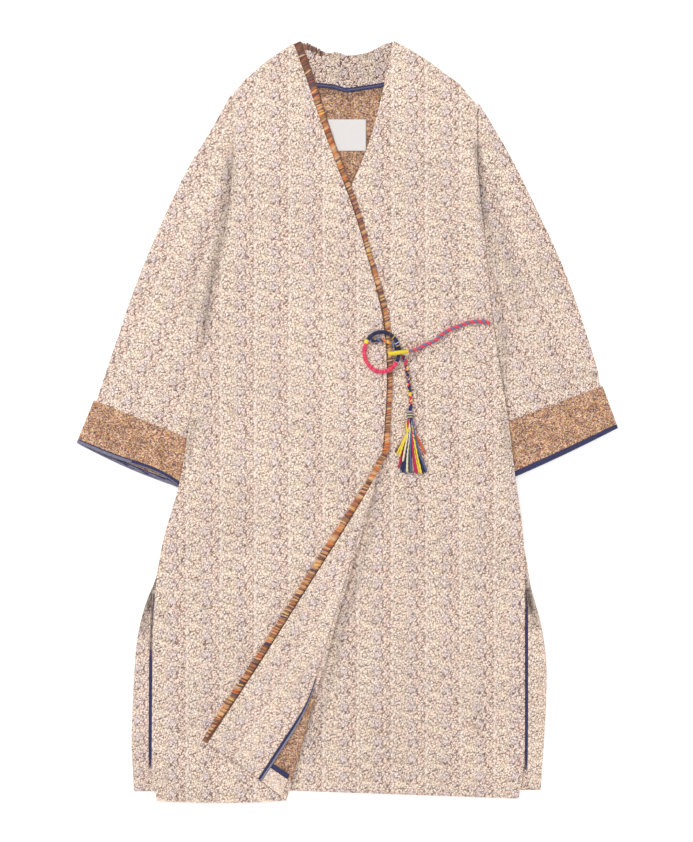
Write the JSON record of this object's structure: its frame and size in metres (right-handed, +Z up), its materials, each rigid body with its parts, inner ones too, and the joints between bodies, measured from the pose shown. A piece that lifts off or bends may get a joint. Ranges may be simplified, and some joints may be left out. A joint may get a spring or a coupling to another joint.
{
  "type": "kaftan",
  "caption": "Long open-front kaftan coat in small-patterned jacquard, laid flat, one front's lower corner folded back, closed at the waist by a cord-wrapped ring, bar and tassel.",
  "frame": {"origin": "centre of the garment's outline on the surface it lies on", "axes": "+X to the wearer's left as it lies front side up, +Y towards the collar, +Z up out of the cloth"},
  "size_m": [0.84, 1.181, 0.0194],
  "materials": {
    "jacquard": "woven jacquard with small scroll repeats, matt",
    "reverse_cloth": "reverse side of the jacquard, orange-brown, matt",
    "navy_binding": "bias tape, fine weave with a slight sheen",
    "yarn_trim": "cut yarn loops in orange, rust, brown and yellow",
    "label_cloth": "bare woven label, smooth",
    "navy_cord": "thread-wrapped cord, slight sheen",
    "crimson_cord": "thread-wrapped cord, slight sheen",
    "yellow_thread": "tightly wound thread, slight sheen",
    "braided_cord": "braid of pink-red and grey-blue yarns",
    "twisted_cord": "twisted and loose yarns in navy, yellow, red and orange"
  },
  "bodies": {
    "root": {"front_left": "jacquard", "front_right": "jacquard", "sleeve_right": "jacquard", "sleeve_left": "jacquard", "flap_facing": "jacquard", "flap_hem_facing": "jacquard", "neck_facing": "jacquard", "slit_facing_right": "jacquard", "slit_facing_left": "jacquard", "back": "reverse_cloth", "cuff_right": "reverse_cloth", "cuff_left": "reverse_cloth", "cuff_binding_right": "navy_binding", "cuff_binding_left": "navy_binding", "flap_facing_binding": "navy_binding", "flap_hem_binding": "navy_binding", "neck_binding": "navy_binding", "slit_binding_right": "navy_binding", "slit_binding_left": "navy_binding", "front_trim": "yarn_trim", "collar_trim": "yarn_trim", "label": "label_cloth", "ring_navy": "navy_cord", "ring_crimson": "crimson_cord", "ring_wrap": "yellow_thread", "toggle_bar": "yellow_thread", "cord_braided": "braided_cord", "cord_twisted": "twisted_cord", "tassel": "twisted_cord"}
  },
  "joints": []
}
